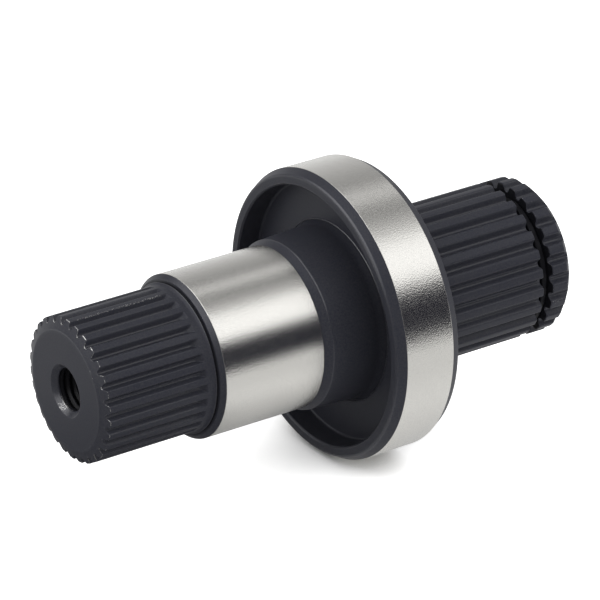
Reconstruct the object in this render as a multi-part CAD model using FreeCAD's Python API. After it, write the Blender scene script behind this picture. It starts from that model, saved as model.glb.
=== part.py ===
import FreeCAD, Part
import math
import os

os.makedirs("parts", exist_ok=True)

# Intermediate drive shaft: a blackened steel shaft with a spline at each end, a ground bearing
# journal, a seal cup pressed on its hub and a snap ring in the groove of its rear spline.
# Lengths are millimetres and angles are degrees. The shaft's axis is X, with the threaded front
# end at -X and +Z up. The origin is on the axis, in the middle of the bearing journal.

# Bearing journal and the collar that carries it
journal_diameter = 40.0
journal_length = 27.3
collar_chamfer_length = 1.1
collar_chamfer_height = 1.15
collar_rise_length = 0.6
collar_fillet = 2.1

# Front spline, which a hub slides onto
front_teeth = 30
front_tip_diameter = 35.4
front_tooth_depth = 1.45
front_space_width = 2.1
front_stub_length = 30.2
front_chamfer_length = 1.2
front_chamfer_height = 3.05
front_plain_land = 2.65
front_runout_radius = 2.6
front_space_angle = 5.2

# Threaded hole in the front face
thread_crest_diameter = 10.2
thread_length = 28.0
countersink_diameter = 12.8
drill_point_angle = 118.0

# Hub that flares from the journal to the cup's seat
hub_rise = 0.9
hub_rise_length = 2.1
hub_edge_round = 1.2
hub_flare_rise = 0.65
hub_flare_tail = 1.6
hub_flare_round = 9.0

# Seal cup, pressed on the hub's seat against the shoulder
seat_diameter = 44.6
cup_setback = 10.1
rim_diameter = 72.0
rim_band_length = 13.0
rim_wall = 3.8
rim_chamfer_length = 2.4
rim_chamfer_height = 1.3
cup_depth = 6.25
cup_web = 8.0
cup_corner_bevel = 0.8
cup_mouth_chamfer = 0.4
cup_bore_chamfer = 0.35
cup_back_wall = 5.2
cup_back_corner_bevel = 1.5

# Shoulder that the cup is pressed against, and the neck behind it
shoulder_diameter = 54.0
shoulder_length = 5.0
shoulder_chamfer = 0.8
neck_depth = 0.4
neck_length = 3.4
neck_fillet = 1.5

# Rear spline, with the snap ring's groove near its end
rear_teeth = 25
rear_tip_diameter = 38.7
rear_tooth_depth = 1.7
rear_space_width = 2.65
rear_spline_length = 40.8
rear_lead_chamfer = 1.2
rear_end_chamfer = 1.8
rear_space_angle = 13.2
rear_groove_margin = 6.1
ring_groove_width = 2.9
ring_groove_depth = 3.4

# Centre hole in the rear face, which the shaft was ground on
centre_diameter = 6.4
centre_cone_angle = 60.0
pilot_diameter = 3.0
pilot_length = 4.0

# Flank angle of both splines, from the middle of the space
flank_angle = 25.0

# Largest share of the shorter side that a rounded corner takes
longest_reach = 0.97

# Snap ring, a square wire ring with bevelled edges and a gap, free to turn in its groove
ring_wire_size = 1.6
ring_wire_bevel = 0.4
ring_gap_angle = 26.0
ring_running_clearance = 0.08

# Radii
journal_r = journal_diameter / 2
collar_face_r = journal_r - collar_chamfer_height
front_tip_r = front_tip_diameter / 2
front_root_r = front_tip_r - front_tooth_depth
seat_r = seat_diameter / 2
rim_r = rim_diameter / 2
shoulder_r = shoulder_diameter / 2
rear_tip_r = rear_tip_diameter / 2
rear_root_r = rear_tip_r - rear_tooth_depth
neck_r = rear_root_r - neck_depth
ring_groove_r = rear_tip_r - ring_groove_depth
hub_r = journal_r + hub_rise

# Places along the axis, from the journal outwards
journal_front_x = -journal_length / 2
journal_rear_x = journal_length / 2
collar_face_x = journal_front_x - collar_chamfer_length
front_face_x = collar_face_x - front_stub_length
front_spline_end_x = collar_face_x - front_plain_land
hub_front_x = journal_rear_x + hub_rise_length
cup_nose_x = journal_rear_x + cup_setback
cup_floor_x = cup_nose_x + cup_depth
shoulder_front_x = cup_floor_x + cup_web
shoulder_rear_x = shoulder_front_x + shoulder_length
rear_spline_x = shoulder_rear_x + neck_length
rear_face_x = rear_spline_x + rear_spline_length
ring_groove_rear_x = rear_face_x - rear_groove_margin
ring_groove_front_x = ring_groove_rear_x - ring_groove_width
ring_x = (ring_groove_front_x + ring_groove_rear_x) / 2
band_front_x = cup_nose_x + rim_chamfer_length
band_rear_x = band_front_x + rim_band_length
cup_back_x = band_rear_x + rim_chamfer_length

AXIS_POINT = FreeCAD.Vector(0, 0, 0)
AXIS = FreeCAD.Vector(1, 0, 0)


def rounded_corner(before, corner, after, radius):
    """Return the two tangent points and the middle of the arc that rounds one corner.

    The arc takes no more than most of the shorter side, and the radius shrinks with it.
    """
    to_before = before - corner
    to_after = after - corner
    half_angle = to_before.getAngle(to_after) / 2
    reach = min(to_before.Length, to_after.Length) * longest_reach
    setback = min(radius / math.tan(half_angle), reach)
    radius = setback * math.tan(half_angle)
    to_before.normalize()
    to_after.normalize()
    towards_centre = to_before + to_after
    towards_centre.normalize()
    middle_distance = radius / math.sin(half_angle) - radius
    return (
        corner + to_before * setback,
        corner + towards_centre * middle_distance,
        corner + to_after * setback,
    )


def turned(outline):
    """Turn a closed outline of (x, radius, rounding) corners about the shaft's axis."""
    corners = [FreeCAD.Vector(x, r, 0) for x, r, rounding in outline]
    count = len(corners)
    edges = []
    starts = []
    ends = []
    for i in range(count):
        rounding = outline[i][2]
        if rounding == 0:
            starts.append(corners[i])
            ends.append(corners[i])
            continue
        first, middle, last = rounded_corner(
            corners[i - 1], corners[i], corners[(i + 1) % count], rounding)
        starts.append(first)
        ends.append(last)
        edges.append(Part.Arc(first, middle, last).toShape())
    for i in range(count):
        begin = ends[i]
        finish = starts[(i + 1) % count]
        if begin.distanceToPoint(finish) > 1e-6:
            edges.append(Part.LineSegment(begin, finish).toShape())
    wire = Part.Wire(Part.__sortEdges__(edges))
    return Part.Face(wire).revolve(AXIS_POINT, AXIS, 360)


def space_section(tip_r, depth, width, x):
    """Face of one tooth space: two flat flanks that lean outwards and a full round root.

    The root's circle touches both flanks and the root diameter. The face stands across the
    axis at x, on the +Z side, and runs past the tooth tips.
    """
    lean = math.radians(flank_angle)
    root_r = tip_r - depth
    half_width = width / 2
    narrowest = max(half_width - depth * math.tan(lean), 0.05 * half_width)
    root_round = narrowest * math.cos(lean) / (1 - math.sin(lean))
    centre_z = root_r + root_round
    touch_y = root_round * math.cos(lean)
    touch_z = centre_z - root_round * math.sin(lean)
    top_z = tip_r + depth
    top_y = touch_y + (top_z - touch_z) * math.tan(lean)
    left_top = FreeCAD.Vector(x, -top_y, top_z)
    left_touch = FreeCAD.Vector(x, -touch_y, touch_z)
    right_touch = FreeCAD.Vector(x, touch_y, touch_z)
    right_top = FreeCAD.Vector(x, top_y, top_z)
    root = FreeCAD.Vector(x, 0, root_r)
    return Part.Face(Part.Wire([
        Part.LineSegment(left_top, left_touch).toShape(),
        Part.Arc(left_touch, root, right_touch).toShape(),
        Part.LineSegment(right_touch, right_top).toShape(),
        Part.LineSegment(right_top, left_top).toShape(),
    ]))


def space_pattern(one_space, teeth, first_angle):
    """Copies of one tooth space, spread evenly round the axis."""
    copies = []
    for i in range(teeth):
        space = one_space.copy()
        space.rotate(AXIS_POINT, AXIS, first_angle + i * 360 / teeth)
        copies.append(space)
    return copies


def front_spaces():
    """Tooth spaces of the front spline, whose roots rise in an arc before the collar."""
    start_x = front_face_x - 1
    section = space_section(front_tip_r, front_tooth_depth, front_space_width, start_x)
    prism = section.extrude(FreeCAD.Vector(front_spline_end_x - start_x, 0, 0))
    clear_r = front_tip_r + 2 * front_tooth_depth
    below_root_r = front_root_r - 0.5 * front_tooth_depth
    rise = min(front_tooth_depth / front_runout_radius, 1.0)
    runout_length = front_runout_radius * math.sqrt(1 - (1 - rise) ** 2)
    straight_end_x = front_spline_end_x - runout_length
    half_turn = math.acos(1 - rise) / 2
    arc_middle = FreeCAD.Vector(
        straight_end_x + front_runout_radius * math.sin(half_turn),
        front_root_r + front_runout_radius * (1 - math.cos(half_turn)), 0)
    straight_end = FreeCAD.Vector(straight_end_x, front_root_r, 0)
    spline_end = FreeCAD.Vector(front_spline_end_x, front_tip_r, 0)
    corners = [
        spline_end,
        FreeCAD.Vector(front_spline_end_x, clear_r, 0),
        FreeCAD.Vector(start_x, clear_r, 0),
        FreeCAD.Vector(start_x, below_root_r, 0),
        FreeCAD.Vector(straight_end_x, below_root_r, 0),
        straight_end,
    ]
    edges = [Part.Arc(straight_end, arc_middle, spline_end).toShape()]
    for begin, finish in zip(corners, corners[1:]):
        edges.append(Part.LineSegment(begin, finish).toShape())
    swept_ring = Part.Face(Part.Wire(edges)).revolve(AXIS_POINT, AXIS, 360)
    return space_pattern(prism.common(swept_ring), front_teeth, front_space_angle)


def rear_spaces():
    """Tooth spaces of the rear spline, open into the neck and out of the rear face."""
    start_x = rear_spline_x - neck_length / 2
    section = space_section(rear_tip_r, rear_tooth_depth, rear_space_width, start_x)
    prism = section.extrude(FreeCAD.Vector(rear_face_x + 1 - start_x, 0, 0))
    return space_pattern(prism, rear_teeth, rear_space_angle)


def threaded_hole():
    """Countersunk hole at the thread's crest diameter, with the drill's point at its end."""
    countersink_r = countersink_diameter / 2
    crest_r = thread_crest_diameter / 2
    countersink_depth = countersink_r - crest_r
    point_length = crest_r / math.tan(math.radians(drill_point_angle / 2))
    end_x = front_face_x + thread_length
    return turned([
        (front_face_x - 1, 0, 0),
        (front_face_x - 1, countersink_r, 0),
        (front_face_x, countersink_r, 0),
        (front_face_x + countersink_depth, crest_r, 0),
        (end_x, crest_r, 0),
        (end_x + point_length, 0, 0),
    ])


def rear_centre_hole():
    """Centre-drilled hole: a cone for the grinding centre and a short pilot."""
    centre_r = centre_diameter / 2
    pilot_r = pilot_diameter / 2
    cone_length = (centre_r - pilot_r) / math.tan(math.radians(centre_cone_angle / 2))
    pilot_end_x = rear_face_x - cone_length - pilot_length
    return turned([
        (rear_face_x + 1, 0, 0),
        (rear_face_x + 1, centre_r, 0),
        (rear_face_x, centre_r, 0),
        (rear_face_x - cone_length, pilot_r, 0),
        (pilot_end_x, pilot_r, 0),
        (pilot_end_x - pilot_r, 0, 0),
    ])


def make_intermediate_shaft():
    """The forged shaft: turned outline, both splines, threaded hole and centre hole."""
    flare_x = cup_floor_x - hub_flare_tail
    neck_lead_x = rear_spline_x + rear_lead_chamfer
    blank = turned([
        (front_face_x, 0, 0),
        (front_face_x, front_tip_r - front_chamfer_height, 0),
        (front_face_x + front_chamfer_length, front_tip_r, 0),
        (collar_face_x - collar_rise_length, front_tip_r, collar_fillet),
        (collar_face_x, collar_face_r, 0),
        (journal_front_x, journal_r, 0),
        (journal_rear_x, journal_r, 0),
        (hub_front_x, hub_r, hub_edge_round),
        (flare_x, hub_r + hub_flare_rise, hub_flare_round),
        (cup_floor_x, seat_r, 0),
        (shoulder_front_x, seat_r, 0),
        (shoulder_front_x, shoulder_r - shoulder_chamfer, 0),
        (shoulder_front_x + shoulder_chamfer, shoulder_r, 0),
        (shoulder_rear_x - shoulder_chamfer, shoulder_r, 0),
        (shoulder_rear_x, shoulder_r - shoulder_chamfer, 0),
        (shoulder_rear_x, neck_r, neck_fillet),
        (rear_spline_x, neck_r, 0),
        (neck_lead_x, rear_tip_r, 0),
        (ring_groove_front_x, rear_tip_r, 0),
        (ring_groove_front_x, ring_groove_r, 0),
        (ring_groove_rear_x, ring_groove_r, 0),
        (ring_groove_rear_x, rear_tip_r, 0),
        (rear_face_x - rear_end_chamfer, rear_tip_r, 0),
        (rear_face_x, rear_tip_r - rear_end_chamfer, 0),
        (rear_face_x, 0, 0),
    ])
    shaft = blank.cut(front_spaces() + rear_spaces())
    return shaft.cut([threaded_hole(), rear_centre_hole()])


def make_seal_cup():
    """The cup: a web bored for the hub's seat and a rim whose outside is ground for the seal."""
    nose_r = rim_r - rim_chamfer_height
    wall_r = rim_r - rim_wall
    back_recess_r = rim_r - cup_back_wall
    return turned([
        (cup_nose_x, nose_r, 0),
        (band_front_x, rim_r, 0),
        (band_rear_x, rim_r, 0),
        (cup_back_x, nose_r, 0),
        (cup_back_x, back_recess_r, 0),
        (shoulder_front_x + cup_back_corner_bevel, back_recess_r, 0),
        (shoulder_front_x, back_recess_r - cup_back_corner_bevel, 0),
        (shoulder_front_x, seat_r, 0),
        (cup_floor_x + cup_bore_chamfer, seat_r, 0),
        (cup_floor_x, seat_r + cup_bore_chamfer, 0),
        (cup_floor_x, wall_r - cup_corner_bevel, 0),
        (cup_floor_x - cup_corner_bevel, wall_r, 0),
        (cup_nose_x + cup_mouth_chamfer, wall_r, 0),
        (cup_nose_x, wall_r + cup_mouth_chamfer, 0),
    ])


def make_snap_ring():
    """The snap ring: square wire bent to an open ring that runs on the groove's bottom."""
    inner_r = ring_groove_r + ring_running_clearance
    outer_r = inner_r + ring_wire_size
    front_x = ring_x - ring_wire_size / 2
    rear_x = ring_x + ring_wire_size / 2
    outline = [
        (front_x + ring_wire_bevel, inner_r),
        (rear_x - ring_wire_bevel, inner_r),
        (rear_x, inner_r + ring_wire_bevel),
        (rear_x, outer_r - ring_wire_bevel),
        (rear_x - ring_wire_bevel, outer_r),
        (front_x + ring_wire_bevel, outer_r),
        (front_x, outer_r - ring_wire_bevel),
        (front_x, inner_r + ring_wire_bevel),
    ]
    corners = [FreeCAD.Vector(x, 0, r) for x, r in outline]
    section = Part.Face(Part.makePolygon(corners + corners[:1]))
    section.rotate(AXIS_POINT, AXIS, ring_gap_angle / 2)
    return section.revolve(AXIS_POINT, AXIS, 360 - ring_gap_angle)


parts = {
    "intermediate_shaft": make_intermediate_shaft(),
    "seal_cup": make_seal_cup(),
    "snap_ring": make_snap_ring(),
}
for name, shape in parts.items():
    shape.exportStep(f"parts/{name}.step")
    print(name, "solids", len(shape.Solids), "valid", shape.isValid(), "volume", round(shape.Volume, 1))
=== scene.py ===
"""Intermediate drive shaft on a pale studio floor.

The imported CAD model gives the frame. The blackened shaft with its two splines, the seal cup that
is pressed on it and the snap ring in the rear spline's groove are each made here as one closed
skin of rings round the shaft's axis. Sizes inside a section are millimetres, and a mesh is scaled
to metres when it is made. The axis is X, and an angle is counted from +Z towards -Y.
"""
import math

import bpy
import numpy as np
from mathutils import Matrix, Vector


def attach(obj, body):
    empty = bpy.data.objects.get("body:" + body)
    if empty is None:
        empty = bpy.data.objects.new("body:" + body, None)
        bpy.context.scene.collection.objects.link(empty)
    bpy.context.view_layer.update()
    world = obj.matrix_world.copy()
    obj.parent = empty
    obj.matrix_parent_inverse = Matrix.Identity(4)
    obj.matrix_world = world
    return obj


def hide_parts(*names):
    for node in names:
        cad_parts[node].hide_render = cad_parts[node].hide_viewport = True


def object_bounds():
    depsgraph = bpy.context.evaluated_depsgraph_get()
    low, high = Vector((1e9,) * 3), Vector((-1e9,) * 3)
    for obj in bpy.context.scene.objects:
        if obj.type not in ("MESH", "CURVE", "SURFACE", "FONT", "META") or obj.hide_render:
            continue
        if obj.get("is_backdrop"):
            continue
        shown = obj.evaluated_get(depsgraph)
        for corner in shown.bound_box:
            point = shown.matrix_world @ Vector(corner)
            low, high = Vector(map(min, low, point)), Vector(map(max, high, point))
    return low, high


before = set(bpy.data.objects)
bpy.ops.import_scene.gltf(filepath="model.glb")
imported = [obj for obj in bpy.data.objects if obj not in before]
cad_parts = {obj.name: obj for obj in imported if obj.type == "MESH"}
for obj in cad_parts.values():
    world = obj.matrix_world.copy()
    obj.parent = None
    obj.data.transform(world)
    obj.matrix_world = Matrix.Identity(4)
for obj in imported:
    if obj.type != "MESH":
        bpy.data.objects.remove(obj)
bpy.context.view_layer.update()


# Intermediate shaft
# One forged and turned steel bar, blackened all over and then ground bright on its bearing
# journal. Both splines are cut into it, and its front end is drilled, countersunk and tapped.

FACE_X = -44.95
FACE_EDGE_R = 14.65
FRONT_TIP_R = 17.7
FRONT_CHAMFER_X = -43.75
FRONT_STRAIGHT_X = -19.73
FRONT_END_X = -17.4
JOURNAL_R = 20.0
JOURNAL_X = 13.65
SEAT_R = 22.3
CUP_FLOOR_X = 30.0
SHOULDER_X = 38.0
NECK_R = 17.25
REAR_START_X = 46.4
REAR_LEAD_X = 47.6
REAR_TIP_R = 19.35
GROOVE_X = (78.2, 81.1)
GROOVE_R = 15.95
REAR_CHAMFER_X = 85.4
REAR_FACE_X = 87.2
SMOOTH_COLUMNS = 216


def ring(x, r, columns=SMOOTH_COLUMNS, phase=5.2):
    """A plain circle of the skin: even angles that start at the phase, all at one x and radius."""
    angle = np.radians(phase + np.arange(columns) * 360.0 / columns)
    return np.full(columns, float(x)), np.full(columns, float(r)), angle


def side(angle, middle, width):
    """Bell curve round the axis: 1 at an angle in degrees, falling off over a width."""
    away = (np.degrees(angle) - middle + 180) % 360 - 180
    return np.exp(-(away / width) ** 2)


def turned_outline(corners, steps=5, support=0.05):
    """Outline of a turned form as (x, radius, rubbed) points, from such corners and a rounding.

    A corner is (x, radius, rounding) or (x, radius, rounding, rubbed). It becomes an arc that
    touches both sides at rounding / tan(half the corner's angle) from it, with its points at
    even turns about the arc's centre. One more point stands a little way out on each side, so
    that the shading turns on the arc and not on the flats.
    """
    corners = [np.array(c + (0,) * (4 - len(c)), float) for c in corners]
    points = [corners[0][[0, 1, 3]]]
    for before, here, after in zip(corners, corners[1:], corners[2:]):
        to_before = before[:2] - here[:2]
        to_after = after[:2] - here[:2]
        near = min(np.hypot(*to_before), np.hypot(*to_after)) * 0.45
        to_before /= np.hypot(*to_before)
        to_after /= np.hypot(*to_after)
        half = math.acos(np.clip(to_before @ to_after, -1, 1)) / 2
        setback = min(here[2] / math.tan(half), near)
        radius = setback * math.tan(half)
        inward = (to_before + to_after) / np.hypot(*(to_before + to_after))
        centre = here[:2] + inward * radius / math.sin(half)
        first = here[:2] + to_before * setback
        last = here[:2] + to_after * setback
        turn = np.linspace(0, 1, steps)[:, None]
        spoke = (1 - turn) * (first - centre) + turn * (last - centre)
        arc = centre + spoke * radius / np.hypot(spoke[:, 0], spoke[:, 1])[:, None]
        arc = np.concatenate([
            [first + to_before * min(support, setback)], arc,
            [last + to_after * min(support, setback)]])
        rub = np.full(len(arc), here[3])
        rub[[0, -1]] = 0
        points.extend(np.column_stack([arc, rub]))
    points.append(corners[-1][[0, 1, 3]])
    return np.array(points)


def soft_min(a, b, blend):
    """The smaller of two values, less blend / 4 where they are equal, so their edge is round."""
    near = np.clip(1 - np.abs(a - b) / blend, 0, 1)
    return np.minimum(a, b) - near ** 2 * blend / 4


FLANK_LEAN = math.radians(25)


class Spline:
    """Tooth form of one spline: straight leaning flanks and full round roots."""

    def __init__(self, teeth, tip_r, depth, width, first_space):
        lean = FLANK_LEAN
        narrow = width / 2 - depth * math.tan(lean)
        self.tip_r = tip_r
        self.root_r = tip_r - depth
        self.round_r = narrow * math.cos(lean) / (1 - math.sin(lean))
        self.touch = np.array([
            self.round_r * math.cos(lean),
            self.root_r + self.round_r - self.round_r * math.sin(lean)])
        touch_angle = math.degrees(math.atan2(*self.touch))
        edge = math.degrees(math.atan2(width / 2, tip_r))
        middle = 180 / teeth
        half = np.concatenate([
            touch_angle * np.array([0, 0.38, 0.7, 1]),
            touch_angle + (edge - 0.35 - touch_angle) * np.array([0.45, 1]),
            edge + np.array([-0.17, 0, 0.17, 0.38]),
            edge + (middle - edge) * np.array([0.3, 0.55, 0.78]),
        ])
        local = np.concatenate([half, [middle], 2 * middle - half[:0:-1]])
        self.columns = len(local) * teeth
        spaces = first_space + np.arange(teeth) * 2 * middle
        self.angle = np.radians((spaces[:, None] + local).ravel())
        self.local = np.radians(np.tile(np.minimum(local, 2 * middle - local), teeth))
        self.cut_r = self.space_radius(self.local)
        self.edge = np.exp(-((np.degrees(self.local) - edge) / 0.3) ** 2)
        self.hollow = np.clip((tip_r - self.cut_r) / depth, 0, 1)

    def space_radius(self, local):
        """Distance of the space's outline from the axis, at an angle from the space's middle.

        Under the touch angle it is the root circle, found from its centre's distance d by
        r = d cos a - sqrt(round_r ** 2 - (d sin a) ** 2), and above it the leaning flank.
        """
        lean = FLANK_LEAN
        d = self.root_r + self.round_r
        root = d * np.cos(local) - np.sqrt(
            np.maximum(self.round_r ** 2 - (d * np.sin(local)) ** 2, 0))
        slope = np.tan(local)
        along = (self.touch[1] * slope - self.touch[0]) / (math.sin(lean) - math.cos(lean) * slope)
        flank = np.hypot(self.touch[0] + along * math.sin(lean),
                         self.touch[1] + along * math.cos(lean))
        return np.where(slope < self.touch[0] / self.touch[1], root, flank)

    def surface(self, tip_r, floor_r=0.0, blend=0.34):
        """Radius of every column: the space's outline, never under the floor or over the tips."""
        cut = -soft_min(-self.cut_r, -np.full(self.columns, floor_r), 0.2)
        return soft_min(cut, np.full(self.columns, tip_r), blend)

    def row(self, x, r):
        return np.broadcast_to(x, self.angle.shape).astype(float), np.array(r, float), self.angle


front = Spline(30, FRONT_TIP_R, 1.45, 2.1, 5.2)
rear = Spline(25, REAR_TIP_R, 1.7, 2.65, 13.2)


def skin(name, rows, closed_ends=True, values=None):
    """Mesh object whose skin passes through the rows, each a ring of (x, radius, angle) arrays.

    A point is (x, -r sin angle, r cos angle). Rows with the same count are joined by quads, and
    others by triangles that advance on whichever row has the next angle. The first and last
    rows are closed by a fan to their middle. values gives one number per row point for each
    named attribute.
    """
    start = 0
    points = []
    faces = []
    starts = []
    for x, r, angle in rows:
        points.append(np.stack([x, -r * np.sin(angle), r * np.cos(angle)], 1))
        starts.append(start)
        start += len(x)
    for i in range(len(rows) - 1):
        a, b = rows[i][2], rows[i + 1][2]
        n, m = len(a), len(b)
        if n == m:
            j = np.arange(n)
            k = (j + 1) % n
            lower, upper = starts[i], starts[i + 1]
            quads = np.stack([lower + j, lower + k, upper + k, upper + j], 1)
            faces.extend(quads.tolist())
            continue
        mid_a = (a + np.roll(a, -1) + 2 * np.pi * (np.arange(n) == n - 1)) / 2
        mid_b = (b + np.roll(b, -1) + 2 * np.pi * (np.arange(m) == m - 1)) / 2
        which = np.concatenate([np.zeros(n, int), np.ones(m, int)])
        which = which[np.argsort(np.concatenate([mid_a, mid_b]), kind="stable")]
        ia = np.cumsum(which == 0) - (which == 0)
        ib = np.cumsum(which == 1) - (which == 1)
        on_a = which == 0
        triangles = np.stack([
            starts[i] + ia % n,
            np.where(on_a, starts[i] + (ia + 1) % n, starts[i + 1] + (ib + 1) % m),
            starts[i + 1] + ib % m], 1)
        faces.extend(triangles.tolist())
    if closed_ends:
        for i, flip in ((0, True), (len(rows) - 1, False)):
            n = len(rows[i][0])
            points.append(np.array([[rows[i][0].mean(), 0, 0]]))
            j = starts[i] + np.arange(n)
            k = starts[i] + (np.arange(n) + 1) % n
            middle = np.full(n, start)
            fan = np.stack([middle, k, j] if flip else [middle, j, k], 1)
            faces.extend(fan.tolist())
            start += 1
    mesh = bpy.data.meshes.new(name)
    mesh.from_pydata(np.concatenate(points) * 0.001, [], faces)
    for title, per_row in (values or {}).items():
        flat = np.concatenate([np.broadcast_to(v, r[0].shape) for v, r in zip(per_row, rows)])
        full = np.zeros(start)
        full[:len(flat)] = flat
        mesh.attributes.new(title, "FLOAT", "POINT").data.foreach_set("value", full)
    mesh.shade_smooth()
    piece = bpy.data.objects.new(name, mesh)
    bpy.context.scene.collection.objects.link(piece)
    return piece


rows = []
ground = []
wear = []
rubbed = []
painted_shade = []


def add(row, bright=0.0, worn=0.0, rub=0.0, shade_paint=0.0):
    """Add one ring to the shaft: how far it is ground bright, chipped, rubbed smooth and darkened as
    painted shade.
    """
    rows.append(row)
    ground.append(bright)
    wear.append(worn)
    rubbed.append(rub)
    painted_shade.append(shade_paint)


# Tapped hole, from the drill's point outwards. The thread's groove is a helix of 1.75 mm pitch:
# its depth depends on x / pitch - angle / a full turn.
CREST_R = 5.1
PITCH = 1.75
THREAD_DEPTH = 0.7
THREAD_X = (-43.9, -19.0)
DRILL_TIP_X = -13.9
DRILL_CONE_X = -17.0
COUNTERSINK_R = 6.4
INNER_EDGE_X = (-43.85, -43.3)
BORE_COLUMNS = 96
bore_x = np.concatenate([
    [DRILL_TIP_X, -15.0, -16.9, -16.96, -17.02], np.arange(-17.3, -44.75, -0.24)])
for x in bore_x:
    circle = ring(x, CREST_R, BORE_COLUMNS)
    turn = (x / PITCH - circle[2] / (2 * math.pi)) % 1
    groove = np.clip((0.375 - np.abs(turn - 0.5)) / 0.3125, 0, 1) * THREAD_DEPTH
    groove *= min(max((x - THREAD_X[0]) / 1.5, 0), 1) * (x < THREAD_X[1])
    if x > DRILL_CONE_X:
        drilled = (x - DRILL_TIP_X + 0.02) / (DRILL_CONE_X - DRILL_TIP_X)
        r = np.full(BORE_COLUMNS, CREST_R * drilled)
    else:
        r = np.maximum(CREST_R + groove, COUNTERSINK_R - (x - FACE_X))
    # The countersink's lower left is chipped, and so is its sharp inner edge. Inside the hole the
    # oxide is darkened as painted shade.
    low = side(circle[2], 205, 30)
    outside = x < INNER_EDGE_X[1]
    chips = 0.74 * low if x < INNER_EDGE_X[0] else (0.42 + 0.6 * low) * outside
    add((circle[0], r, circle[2]), worn=chips, rub=0.25 * outside, shade_paint=float(not outside))
add(ring(FACE_X + 0.1, COUNTERSINK_R - 0.08, BORE_COLUMNS), worn=0.74 * low, rub=0.25)
add(ring(FACE_X + 0.03, COUNTERSINK_R, BORE_COLUMNS), worn=0.5 * low, rub=0.2)
add(ring(FACE_X, COUNTERSINK_R + 0.1, BORE_COLUMNS), rub=0.1)
add(ring(FACE_X, COUNTERSINK_R + 0.2, BORE_COLUMNS))
add(ring(FACE_X, COUNTERSINK_R + 1.0, BORE_COLUMNS))
for r in (8.6, 10.5, 12.5, 13.8):
    add(ring(FACE_X, r))

# Front spline. The chamfer's rings run out to the curve where it meets the tooth spaces, so
# the scalloped edge is a true line of the mesh.
edge_r = front.surface(FRONT_TIP_R)
slope = (FRONT_CHAMFER_X - FACE_X) / (FRONT_TIP_R - FACE_EDGE_R)
edge_x = FACE_X + (edge_r - FACE_EDGE_R) * slope
rng = np.random.default_rng(4)
burr = np.convolve(rng.normal(size=front.columns + 8), np.ones(3) / 3, "same")[4:-4]
flecks = np.convolve(rng.normal(size=front.columns + 8), np.ones(5) / 5, "same")[4:-4]
chipped = np.clip(0.6 + 0.9 * flecks + 0.5 * side(front.angle, 25, 34), 0, 1)
burr = np.clip(burr, -1.2, 1.6) * 0.035
# The face's outer edge is made reflective mostly near the top, a painted highlight where the light
# falls, and is chipped a little further round.
for x, r in ((0, 14.35), (0, 14.5), (0.006, 14.58), (0.03, 14.68), (0.06, 14.78), (0.1, 14.9)):
    on_edge = float(14.5 < r < 14.7)
    add(front.row(FACE_X + x, np.full(front.columns, r)),
        rub=0.08 + 0.4 * on_edge * side(front.angle, 15, 45),
        worn=0.68 * on_edge * side(front.angle, 50, 28))
for t in (0.35, 0.7, 0.93):
    add(front.row(FACE_X + (edge_x - FACE_X) * (0.08 + 0.92 * t),
                  FACE_EDGE_R + (edge_r - FACE_EDGE_R) * (0.08 + 0.92 * t)), rub=0.12)
add(front.row(edge_x - 0.045, edge_r - 0.1 + burr * 0.4), worn=0.75 * chipped, rub=0.2)
add(front.row(edge_x + 0.01 - burr * 0.6, edge_r - 0.03 + burr * 0.6), worn=chipped, rub=0.3)
add(front.row(edge_x + 0.1, edge_r), worn=0.9 * chipped, rub=0.2)
add(front.row(edge_x + 0.22, edge_r), worn=0.4 * chipped, rub=0.2 * front.hollow)
# The highest teeth are scuffed where the shaft has lain on them.
scuffs = (0.74 * side(front.angle, 4, 7) + 0.3 * side(front.angle, 17.5, 4)) * (front.hollow < 0.4)
for x in (-43.3, -41, -37, -33, -29, -25, -21.5, -20.2):
    worn = np.maximum(front.edge * 0.5, scuffs * (x > -42))
    add(front.row(x, front.surface(FRONT_TIP_R)), worn=worn,
        rub=np.maximum(0.28 * front.hollow, 0.3 * front.edge))
RUNOUT_R = 2.6
for t in np.linspace(0, 1, 12):
    x = FRONT_STRAIGHT_X + (FRONT_END_X - FRONT_STRAIGHT_X) * t
    floor = front.root_r + RUNOUT_R - math.sqrt(RUNOUT_R ** 2 - (x - FRONT_STRAIGHT_X) ** 2)
    add(front.row(x, front.surface(FRONT_TIP_R, floor)), worn=scuffs * (t < 0.4),
        rub=0.28 * (1 - t) ** 2 * front.hollow)
add(front.row(FRONT_END_X + 0.12, np.full(front.columns, FRONT_TIP_R)))

# Collar, bearing journal, hub, seat, shoulder and neck: plain turned forms.
middle = turned_outline([
    (-17.0, FRONT_TIP_R, 0),
    (-15.9, FRONT_TIP_R, 1.2),
    (-15.3, 18.35, 0.1, 0.6),
    (-15.05, 18.0, 0.12),
    (-14.82, 18.0, 0.12),
    (-14.72, 18.95, 0.12, 0.25),
    (-JOURNAL_X, JOURNAL_R, 0.2),
    (JOURNAL_X - 0.1, JOURNAL_R, 0.06),
    (JOURNAL_X - 0.02, JOURNAL_R - 0.09, 0.04),
    (JOURNAL_X + 0.12, JOURNAL_R - 0.06, 0.05),
    (15.75, 20.9, 0.8, 0.8),
    (28.4, 21.55, 8.0),
    (CUP_FLOOR_X, SEAT_R, 0.1),
    (SHOULDER_X, SEAT_R, 0.1),
    (SHOULDER_X, 26.2, 0.15),
    (38.8, 27.0, 0.15),
    (42.2, 27.0, 0.15),
    (43.0, 26.2, 0.15),
    (43.0, NECK_R, 1.5),
    (46.1, NECK_R, 0),
])
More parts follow.
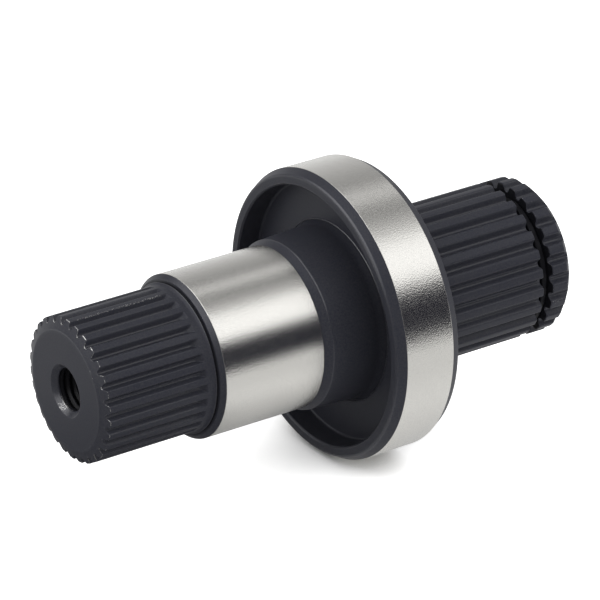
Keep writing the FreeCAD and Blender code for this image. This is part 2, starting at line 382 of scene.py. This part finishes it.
for x, r, rub in middle:
    on_journal = -JOURNAL_X - 0.05 < x < JOURNAL_X - 0.05 and abs(r - JOURNAL_R) < 0.04
    on_collar = -14.8 < x < -JOURNAL_X - 0.05
    row = ring(x, r)
    # The hub's corner is made most reflective on its upper side towards the camera, a painted
    # highlight where the light falls, and the journal's edge is chipped on that side.
    lit_and_worn_side = side(row[2], 28, 36)
    if 14 < x < 17:
        rub = rub * (0.2 + 0.8 * lit_and_worn_side)
    chips = 0.62 * (-JOURNAL_X - 0.35 < x < -JOURNAL_X - 0.02) * lit_and_worn_side
    # Painted shade: the crease in front of the collar and the hub's shaded side are darkened.
    shade_paint = 0.8 * (-15.15 < x < -14.7 and r < 18.3) + 0.35 * (16.2 < x < 30) * side(row[2], 80, 45)
    add(row, bright=float(on_journal), worn=chips, rub=np.maximum(rub, 0.12 * on_collar), shade_paint=shade_paint)

# Rear spline, its snap ring groove and its end chamfer.
full_r = rear.surface(REAR_TIP_R, blend=0.8)
lead = (REAR_LEAD_X - REAR_START_X) / (REAR_TIP_R - NECK_R)
edge_x = REAR_START_X + (full_r - NECK_R) * lead
add(rear.row(REAR_START_X - 0.1, np.full(rear.columns, NECK_R)))
for t in (0.06, 0.5, 0.93):
    add(rear.row(REAR_START_X + (edge_x - REAR_START_X) * t, NECK_R + (full_r - NECK_R) * t))
add(rear.row(edge_x + 0.01, full_r - 0.03), worn=0.7)
add(rear.row(edge_x + 0.12, full_r))
for x in (48.0, 52, 58, 64, 70, 75, 77.7):
    add(rear.row(x, full_r), worn=rear.edge * 0.4, rub=np.maximum(0.22 * rear.hollow, 0.2 * rear.edge))
groove_front, groove_rear = GROOVE_X
floor_r = np.full(rear.columns, GROOVE_R)
add(rear.row(groove_front - 0.14, full_r))
add(rear.row(groove_front - 0.04, full_r - 0.04), worn=0.6)
add(rear.row(groove_front, full_r - 0.14), worn=0.4)
# Painted shade: the groove's walls and floor are darkened to near black.
for t in (0.1, 0.6, 0.85):
    add(rear.row(groove_front, full_r - 0.14 + (GROOVE_R + 0.24 - full_r + 0.14) * t), shade_paint=0.9)
add(rear.row(groove_front + 0.07, floor_r + 0.07), shade_paint=1.0)
for x in (groove_front + 0.25, groove_front + 0.4, groove_rear - 0.4, groove_rear - 0.25):
    add(rear.row(x, floor_r), shade_paint=1.0)
add(rear.row(groove_rear - 0.07, floor_r + 0.07), shade_paint=1.0)
for t in (0.85, 0.6, 0.1):
    add(rear.row(groove_rear, full_r - 0.14 + (GROOVE_R + 0.24 - full_r + 0.14) * t), shade_paint=0.9)
add(rear.row(groove_rear, full_r - 0.14), worn=0.4)
add(rear.row(groove_rear + 0.04, full_r - 0.04), worn=0.7)
add(rear.row(groove_rear + 0.14, full_r))
scuffs = 0.62 * side(rear.angle, 104, 4) * (rear.hollow < 0.4)
for x in (81.6, 83.2, 84.9):
    add(rear.row(x, full_r), worn=np.maximum(rear.edge * 0.62, scuffs),
        rub=np.maximum(0.22 * rear.hollow, 0.2 * rear.edge))
end_r = REAR_TIP_R - (REAR_FACE_X - REAR_CHAMFER_X)
edge_x = REAR_FACE_X - np.maximum(full_r - end_r, 0.2)
for k, offset in enumerate((-0.16, -0.05, 0.06, 0.2)):
    x = np.minimum(edge_x + offset, REAR_FACE_X - 0.12 + 0.02 * k)
    add(rear.row(x, soft_min(full_r, end_r + REAR_FACE_X - x, 0.16)), worn=0.5 * (k in (1, 2)))
rim_r = np.minimum(full_r, end_r)
add(rear.row(REAR_FACE_X - 0.05, rim_r), worn=0.2)
add(rear.row(REAR_FACE_X - 0.015, rim_r - 0.04), worn=0.5)
add(rear.row(REAR_FACE_X, rim_r - 0.12))
add(rear.row(REAR_FACE_X, rim_r - 0.2))
add(rear.row(REAR_FACE_X, np.full(rear.columns, 17.0)))
for r in (16.0, 12.0, 8.0, 4.6):
    add(ring(REAR_FACE_X, r))
centre_hole = turned_outline([
    (REAR_FACE_X, 4.0, 0),
    (REAR_FACE_X, 3.2, 0.1),
    (84.26, 1.5, 0.08),
    (80.26, 1.5, 0.05),
    (78.86, 0.1, 0),
])
for x, r, rub in centre_hole:
    add(ring(x, r, 64), rub=rub)

shaft = skin("intermediate_shaft_skin", rows, values={
    "ground": ground, "wear": wear, "rubbed": rubbed, "painted_shade": painted_shade})
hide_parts("intermediate_shaft")
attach(shaft, "shaft")


def group(name, inputs, outputs):
    """An empty shader node group with its named sockets, and its input and output nodes."""
    tree = bpy.data.node_groups.new(name, "ShaderNodeTree")
    for title, kind, value in inputs:
        socket = tree.interface.new_socket(title, in_out="INPUT", socket_type=kind)
        if value is not None:
            socket.default_value = value
    for title, kind in outputs:
        tree.interface.new_socket(title, in_out="OUTPUT", socket_type=kind)
    return tree, tree.nodes.new("NodeGroupInput"), tree.nodes.new("NodeGroupOutput")


def node(tree, kind, inputs=(), **settings):
    """Add a node, give it its settings, and set or link its inputs, by name or by place."""
    made = tree.nodes.new(kind)
    for key, value in settings.items():
        setattr(made, key, value)
    for key, value in dict(inputs).items():
        if isinstance(value, bpy.types.NodeSocket):
            tree.links.new(value, made.inputs[key])
        else:
            made.inputs[key].default_value = value
    return made


def math_node(tree, operation, *values, clamp=False):
    made = node(tree, "ShaderNodeMath", enumerate(values), operation=operation, use_clamp=clamp)
    return made.outputs[0]


def mix_colour(tree, factor, a, b):
    made = tree.nodes.new("ShaderNodeMix")
    made.data_type = "RGBA"
    for key, value in ((0, factor), (6, a), (7, b)):
        if isinstance(value, bpy.types.NodeSocket):
            tree.links.new(value, made.inputs[key])
        else:
            made.inputs[key].default_value = value
    return made.outputs[2]


def around_axis(tree, position, along, across):
    """Coordinates for marks that run round the shaft: x is scaled by along, y and z by across."""
    return node(tree, "ShaderNodeVectorMath", {0: position, 1: (along, across, across)},
                operation="MULTIPLY").outputs[0]


# Black oxide: a thin matt black skin on turned steel. Faint tool marks run round the axis, the
# tone drifts between blue and brown black, and worn edges show grey steel.
oxide, oxide_in, oxide_out = group("black_oxide", [
    ("Position", "NodeSocketVector", None),
    ("Wear", "NodeSocketFloat", 0.0),
    ("Rubbed", "NodeSocketFloat", 0.0),
    ("Painted Shade", "NodeSocketFloat", 0.0),
], [
    ("Colour", "NodeSocketColor"),
    ("Roughness", "NodeSocketFloat"),
    ("Bare", "NodeSocketFloat"),
    ("Polish", "NodeSocketFloat"),
    ("Height", "NodeSocketFloat"),
])
drift = node(oxide, "ShaderNodeTexNoise", {
    "Vector": oxide_in.outputs["Position"], "Scale": 90.0, "Detail": 4.0}).outputs["Fac"]
fine = node(oxide, "ShaderNodeTexNoise", {
    "Vector": oxide_in.outputs["Position"], "Scale": 2600.0, "Detail": 2.0}).outputs["Fac"]
marks = node(oxide, "ShaderNodeTexNoise", {
    "Vector": around_axis(oxide, oxide_in.outputs["Position"], 2400.0, 60.0),
    "Scale": 1.0, "Detail": 2.0}).outputs["Fac"]
tone = mix_colour(oxide, drift, (0.0205, 0.0222, 0.0345, 1), (0.0285, 0.0292, 0.0385, 1))
speckle = math_node(oxide, "SUBTRACT", math_node(oxide, "MULTIPLY", fine, 1.4), 0.4, clamp=True)
tone = mix_colour(oxide, speckle, tone, (0.046, 0.0465, 0.052, 1))
# Painted shade: where the attribute says so, the tone is darkened to near black.
tone = mix_colour(oxide, oxide_in.outputs["Painted Shade"], tone, (0.007, 0.0072, 0.009, 1))
chips = node(oxide, "ShaderNodeTexNoise", {
    "Vector": oxide_in.outputs["Position"], "Scale": 3400.0, "Detail": 3.0}).outputs["Fac"]
bare = math_node(oxide, "SUBTRACT",
                 math_node(oxide, "ADD", oxide_in.outputs["Wear"], chips), 1.18, clamp=True)
bare = math_node(oxide, "MULTIPLY", bare, 4.0, clamp=True)
worn_tone = mix_colour(oxide, bare, tone, (0.36, 0.355, 0.35, 1))
polish = math_node(oxide, "MULTIPLY", oxide_in.outputs["Rubbed"],
                   math_node(oxide, "ADD", 0.7, math_node(oxide, "MULTIPLY", fine, 0.6)))
rough = math_node(oxide, "ADD", 0.36, math_node(oxide, "MULTIPLY", fine, 0.12))
height = math_node(oxide, "ADD", math_node(oxide, "MULTIPLY", marks, 0.6),
                   math_node(oxide, "MULTIPLY", fine, 0.4))
oxide.links.new(worn_tone, oxide_out.inputs["Colour"])
oxide.links.new(rough, oxide_out.inputs["Roughness"])
oxide.links.new(bare, oxide_out.inputs["Bare"])
oxide.links.new(polish, oxide_out.inputs["Polish"])
oxide.links.new(height, oxide_out.inputs["Height"])

# Ground steel: bright metal with very fine scratches round the axis, and a mottled sheen where
# the wheel cut a little deeper.
bright, bright_in, bright_out = group("ground_steel", [
    ("Position", "NodeSocketVector", None),
], [
    ("Colour", "NodeSocketColor"),
    ("Roughness", "NodeSocketFloat"),
    ("Height", "NodeSocketFloat"),
])
scratches = node(bright, "ShaderNodeTexNoise", {
    "Vector": around_axis(bright, bright_in.outputs["Position"], 7000.0, 400.0),
    "Scale": 1.0, "Detail": 3.0}).outputs["Fac"]
grain = node(bright, "ShaderNodeTexNoise", {
    "Vector": around_axis(bright, bright_in.outputs["Position"], 4100.0, 3400.0),
    "Scale": 1.0, "Detail": 1.0}).outputs["Fac"]
steel = mix_colour(bright, grain, (0.53, 0.52, 0.50, 1), (0.75, 0.74, 0.705, 1))
sheen = math_node(bright, "ADD", 0.145, math_node(bright, "MULTIPLY", grain, 0.12))
depth = math_node(bright, "ADD", math_node(bright, "MULTIPLY", scratches, 0.8),
                  math_node(bright, "MULTIPLY", grain, 3.9))
bright.links.new(steel, bright_out.inputs["Colour"])
bright.links.new(sheen, bright_out.inputs["Roughness"])
bright.links.new(depth, bright_out.inputs["Height"])


def part_blackened(name, specular=0.125):
    """Blackened steel, with ground, chipped and rubbed places and painted shade where its attributes
    say so.
    """
    material = bpy.data.materials.new(name)
    material.use_nodes = True
    tree = material.node_tree
    shader = tree.nodes["Principled BSDF"]
    place = node(tree, "ShaderNodeTexCoord").outputs["Object"]
    ground_mask = node(tree, "ShaderNodeAttribute", attribute_name="ground").outputs["Fac"]
    black = node(tree, "ShaderNodeGroup", node_tree=oxide)
    tree.links.new(place, black.inputs["Position"])
    for title, socket in (("wear", "Wear"), ("rubbed", "Rubbed"), ("painted_shade", "Painted Shade")):
        mask = node(tree, "ShaderNodeAttribute", attribute_name=title).outputs["Fac"]
        tree.links.new(mask, black.inputs[socket])
    tree.links.new(black.outputs["Polish"], shader.inputs["Coat Weight"])
    shader.inputs["Coat Roughness"].default_value = 0.24
    shader.inputs["Coat IOR"].default_value = 1.8
    metal = node(tree, "ShaderNodeGroup", node_tree=bright)
    tree.links.new(place, metal.inputs["Position"])
    colour = mix_colour(tree, ground_mask, black.outputs["Colour"], metal.outputs["Colour"])
    tree.links.new(colour, shader.inputs["Base Color"])
    metallic = math_node(tree, "MAXIMUM", ground_mask, black.outputs["Bare"])
    tree.links.new(metallic, shader.inputs["Metallic"])
    rough = node(tree, "ShaderNodeMix", {
        0: ground_mask, 2: black.outputs["Roughness"], 3: metal.outputs["Roughness"]})
    tree.links.new(rough.outputs[0], shader.inputs["Roughness"])
    height = node(tree, "ShaderNodeMix", {
        0: ground_mask, 2: black.outputs["Height"], 3: metal.outputs["Height"]})
    bump = node(tree, "ShaderNodeBump", {
        "Height": height.outputs[0], "Distance": 0.00001, "Strength": 1.0})
    tree.links.new(bump.outputs["Normal"], shader.inputs["Normal"])
    shader.inputs["Specular IOR Level"].default_value = specular
    return material


shaft.data.materials.append(part_blackened("blackened_shaft_steel"))


# Seal cup
# A turned steel cup, open to the front, pressed on the hub and seated against the shoulder.
# It is blackened, and the outside of its rim is ground bright for the lip of a shaft seal.

RIM_R = 36.0
RIM_X = (26.15, 39.15)
cup_outline = turned_outline([
    (34.0, SEAT_R, 0),
    (CUP_FLOOR_X - 0.2, SEAT_R + 0.01, 0.11, 1.0),
    (CUP_FLOOR_X - 0.2, SEAT_R + 0.28, 0.11, 1.0),
    (CUP_FLOOR_X, SEAT_R + 0.34, 0.06),
    (CUP_FLOOR_X, 32.2, 0.6),
    (24.15, 32.2, 0.12),
    (23.75, 32.6, 0.16, 0.2),
    (23.75, 34.7, 0.8, 0.25),
    (RIM_X[0], RIM_R, 0.2),
    (RIM_X[1], RIM_R, 0.2),
    (41.55, 34.7, 0.4),
    (41.55, 30.8, 0.4),
    (SHOULDER_X, 30.8, 1.6),
    (SHOULDER_X, SEAT_R, 0.1),
    (34.0, SEAT_R, 0),
])[:-1]
cup_rows = [ring(x, r, 300) for x, r, rub in cup_outline]
cup_rows.append(cup_rows[0])
on_rim = [float(RIM_X[0] - 0.06 < x < RIM_X[1] + 0.06) * float(r > RIM_R - 0.08)
          for x, r, rub in cup_outline]
# The edge round the hub's foot is made reflective only towards the upper right, a painted highlight
# where the light falls.
cup_rub_and_highlight = [rub * (side(row[2], 20, 50) if rub > 0.9 else 1.0)
              for (x, r, rub), row in zip(cup_outline, cup_rows)] + [0.0]
cup = skin("seal_cup_skin", cup_rows, closed_ends=False,
           values={"ground": on_rim + on_rim[:1], "rubbed": cup_rub_and_highlight})
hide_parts("seal_cup")
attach(cup, "shaft")
cup.data.materials.append(part_blackened("blackened_cup_steel"))


# Snap ring
# Spring wire of bevelled square section, bent to an open ring. It is free to turn in the rear
# spline's groove and is the only piece that moves.

RING_X = 79.65
RING_INNER_R = 16.03
RING_SIZE = 1.6
RING_GAP = 26.0
wire = turned_outline([
    (RING_X, RING_INNER_R, 0),
    (RING_X + RING_SIZE / 2, RING_INNER_R, 0.4),
    (RING_X + RING_SIZE / 2, RING_INNER_R + RING_SIZE, 0.4),
    (RING_X - RING_SIZE / 2, RING_INNER_R + RING_SIZE, 0.4),
    (RING_X - RING_SIZE / 2, RING_INNER_R, 0.4),
    (RING_X, RING_INNER_R, 0),
])[:-1, :2]
sweep = np.radians(np.linspace(RING_GAP / 2, 360 - RING_GAP / 2, 221))
wire_middle = np.array([RING_X, RING_INNER_R + RING_SIZE / 2])
# Each end tapers over its last rows, so that the cut ends are rounded over.
taper = np.ones(len(sweep))
taper[[0, 1, -2, -1]] = (0.84, 0.96, 0.96, 0.84)
section = wire_middle + (wire - wire_middle)[None] * taper[:, None, None]
x, r = section[..., 0], section[..., 1]
grid = np.stack([x, -r * np.sin(sweep)[:, None], r * np.cos(sweep)[:, None]], -1)
n_along, n_round = grid.shape[:2]
index = np.arange(n_along * n_round).reshape(n_along, n_round)
after = np.roll(index, -1, 1)
quads = np.stack([index[:-1], after[:-1], after[1:], index[1:]], -1).reshape(-1, 4)
ends = [index[0][::-1].tolist(), index[-1].tolist()]
ring_mesh = bpy.data.meshes.new("snap_ring_skin")
ring_mesh.from_pydata(grid.reshape(-1, 3) * 0.001, [], quads.tolist() + ends)
ring_mesh.shade_smooth()
snap_ring = bpy.data.objects.new("snap_ring_skin", ring_mesh)
bpy.context.scene.collection.objects.link(snap_ring)
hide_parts("snap_ring")
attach(snap_ring, "retaining_ring")
# The whole ring is darkened to near black, painted shade for its place deep in the groove.
ring_shade = ring_mesh.attributes.new("painted_shade", "FLOAT", "POINT")
ring_shade.data.foreach_set("value", np.ones(n_along * n_round))
snap_ring.data.materials.append(part_blackened("spring_steel", specular=0.06))


# Floor and light
# A pale floor, white for the camera, with a painted shadow and painted reflections near the object,
# and a soft studio round the object: a long bright softbox above the viewer, grey overhead and a dark
# room under the softbox.

FLOOR_Z = -0.036
floor_mesh = bpy.data.meshes.new("floor")
floor_mesh.from_pydata(
    [(-2, -0.24, FLOOR_Z), (3, -0.24, FLOOR_Z), (3, 3, FLOOR_Z), (-2, 3, FLOOR_Z)],
    [], [(0, 1, 2, 3)])
floor = bpy.data.objects.new("floor", floor_mesh)
bpy.context.scene.collection.objects.link(floor)
floor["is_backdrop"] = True
floor_paint = bpy.data.materials.new("floor_paint")
floor_paint.use_nodes = True
tree = floor_paint.node_tree
shader = tree.nodes["Principled BSDF"]
shader.inputs["Roughness"].default_value = 0.9
shader.inputs["Specular IOR Level"].default_value = 0.0
shader.inputs["Emission Color"].default_value = (1, 1, 1, 1)
path = node(tree, "ShaderNodeLightPath")
# Painted shadow: the white glow seen by the camera is cut where ambient occlusion, leaning to the
# front right, finds the object close by.
clear = node(tree, "ShaderNodeAmbientOcclusion", {
    "Distance": 0.026, "Normal": (0.42, -0.45, 0.79)}).outputs["AO"]
clear = node(tree, "ShaderNodeMapRange", {0: clear, 1: 0.12, 2: 0.6, 3: 0.0, 4: 1.0},
             interpolation_type="SMOOTHSTEP").outputs[0]
# Painted dark reflection: seen in the metal, the floor ahead of the object on the viewer's side is
# darker.
spot = node(tree, "ShaderNodeSeparateXYZ", {
    0: node(tree, "ShaderNodeTexCoord").outputs["Object"]})
across = spot.outputs[1]
ahead = node(tree, "ShaderNodeMapRange", {0: spot.outputs[0], 1: 0.014, 2: -0.024, 3: 0.0, 4: 1.0},
             interpolation_type="SMOOTHSTEP").outputs[0]
front_side = node(tree, "ShaderNodeMapRange", {0: across, 1: 0.08, 2: 0.02, 3: 0.0, 4: 1.0},
                  interpolation_type="SMOOTHSTEP").outputs[0]
dull = math_node(tree, "MULTIPLY", math_node(tree, "MULTIPLY", ahead, front_side),
                 path.outputs["Is Glossy Ray"])
paint = mix_colour(tree, dull, (0.8, 0.8, 0.795, 1), (0.2, 0.2, 0.2, 1))
tree.links.new(paint, shader.inputs["Base Color"])
# Painted bright reflection: seen in the metal, a strip of floor beside the object glows.
beside = math_node(tree, "ABSOLUTE", math_node(tree, "ADD", across, 0.03))
near = node(tree, "ShaderNodeMapRange", {0: beside, 1: 0.015, 2: 0.05, 3: 0.22, 4: 0.0}).outputs[0]
near = math_node(tree, "MULTIPLY", near, math_node(tree, "SUBTRACT", 1.0, ahead))
glow = math_node(tree, "ADD",
                 math_node(tree, "MULTIPLY", path.outputs["Is Camera Ray"],
                           math_node(tree, "MULTIPLY", clear, 0.85)),
                 math_node(tree, "MULTIPLY", path.outputs["Is Glossy Ray"], near))
tree.links.new(glow, shader.inputs["Emission Strength"])
floor_mesh.materials.append(floor_paint)

world = bpy.data.worlds.new("studio")
bpy.context.scene.world = world
world.use_nodes = True
tree = world.node_tree
tree.nodes.clear()
direction = node(tree, "ShaderNodeTexCoord").outputs["Generated"]
split = node(tree, "ShaderNodeSeparateXYZ", {0: direction})
tilt = math_node(tree, "ARCTAN2", math_node(tree, "MULTIPLY", split.outputs[1], -1.0),
                 split.outputs[2])
share = math_node(tree, "ADD", math_node(tree, "DIVIDE", tilt, 2 * math.pi), 0.5)
ramp = node(tree, "ShaderNodeValToRGB", {0: share})
stops = [
    (-180, 0.6), (-110, 1.0), (-95, 0.86), (-70, 0.65), (-44, 0.4), (-33, 0.32), (-28, 0.8),
    (-19, 0.98), (-14, 0.36), (-4, 0.3), (6, 0.55), (18, 0.85), (23, 1.45), (56, 1.5),
    (59.5, 0.08), (63, 0.015), (97, 0.02), (120, 0.4),
]
bands = ramp.color_ramp
bands.interpolation = "LINEAR"
while len(bands.elements) < len(stops):
    bands.elements.new(0.5)
for element, (degrees, level) in zip(bands.elements, stops):
    element.position = degrees / 360 + 0.5
    element.color = (level, level, level + 0.01 * (level < 0.2), 1)
# Towards the threaded end the room is grey, with one soft lamp high up beyond that end.
lamp = node(tree, "ShaderNodeVectorMath", {0: direction, 1: (-0.71, 0.2, 0.67)},
            operation="DOT_PRODUCT").outputs["Value"]
lamp = node(tree, "ShaderNodeMapRange", {0: lamp, 1: 0.62, 2: 0.98, 3: 0.15, 4: 4.0},
            interpolation_type="SMOOTHSTEP").outputs[0]
ahead = node(tree, "ShaderNodeMapRange", {0: split.outputs[0], 1: 0.1, 2: -0.3, 3: 0.0, 4: 1.0},
             interpolation_type="SMOOTHSTEP").outputs[0]
mirrored = mix_colour(tree, ahead, ramp.outputs["Color"], lamp)
# The room's soft light comes from above and a little from the front right.
soft = node(tree, "ShaderNodeVectorMath", {0: direction, 1: (0.5, -0.3, 1.0)},
            operation="DOT_PRODUCT").outputs["Value"]
soft = node(tree, "ShaderNodeMapRange", {0: soft, 1: -0.6, 2: 1.1, 3: 0.6, 4: 1.3})
path = node(tree, "ShaderNodeLightPath")
room = mix_colour(tree, path.outputs["Is Glossy Ray"], soft.outputs[0], mirrored)
room = mix_colour(tree, path.outputs["Is Camera Ray"], room, (1, 1, 1, 1))
light = node(tree, "ShaderNodeBackground", {0: room})
node(tree, "ShaderNodeOutputWorld", {0: light.outputs[0]})


# Camera
# A long lens at the photograph's angle, 34 degrees round from the side and 26 degrees up.

camera_data = bpy.data.cameras.new("camera")
camera_data.lens = 270
camera_data.sensor_width = 36
camera_data.clip_start = 0.01
camera = bpy.data.objects.new("camera", camera_data)
bpy.context.scene.collection.objects.link(camera)
camera.location = (-0.5184, -0.7906, 0.4746)
ahead_x, ahead_y, ahead_z = 0.50554, 0.7419, -0.4404
camera.rotation_euler = (math.pi / 2 + math.asin(ahead_z), 0, -math.atan2(ahead_x, ahead_y))
bpy.context.scene.camera = camera
bpy.context.scene.view_settings.view_transform = "Standard"

low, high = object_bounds()
